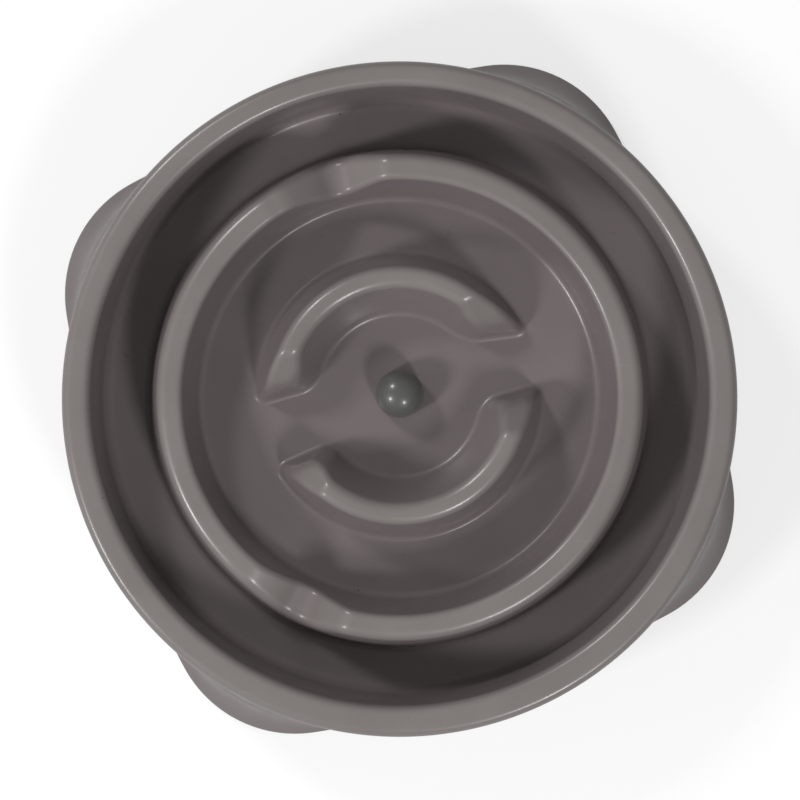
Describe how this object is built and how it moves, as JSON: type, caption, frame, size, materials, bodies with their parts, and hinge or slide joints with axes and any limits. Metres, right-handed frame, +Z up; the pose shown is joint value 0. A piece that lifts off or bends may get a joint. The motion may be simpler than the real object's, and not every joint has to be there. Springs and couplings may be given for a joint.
{
  "type": "slow feeder bowl",
  "caption": "Round slow feeder pet bowl with foot lobes, a ring ridge with dips, broken inner arc ridges, a domed centre knob and rubber pads below.",
  "frame": {"origin": "centre of the bowl on the plane that its four pads stand on", "axes": "+Z up; +Y towards the upper edge of the picture, +X to its right"},
  "size_m": [0.272, 0.272, 0.05],
  "materials": {
    "bowl_plastic": "smooth moulded plastic, soft gloss, warm grey",
    "knob_plastic": "smooth moulded plastic, soft gloss, cool dark grey",
    "pad_rubber": "matt moulded rubber"
  },
  "bodies": {
    "root": {"bowl_body": "bowl_plastic", "centre_knob": "knob_plastic", "non_slip_pad_1": "pad_rubber", "non_slip_pad_2": "pad_rubber", "non_slip_pad_3": "pad_rubber", "non_slip_pad_4": "pad_rubber"}
  },
  "joints": []
}
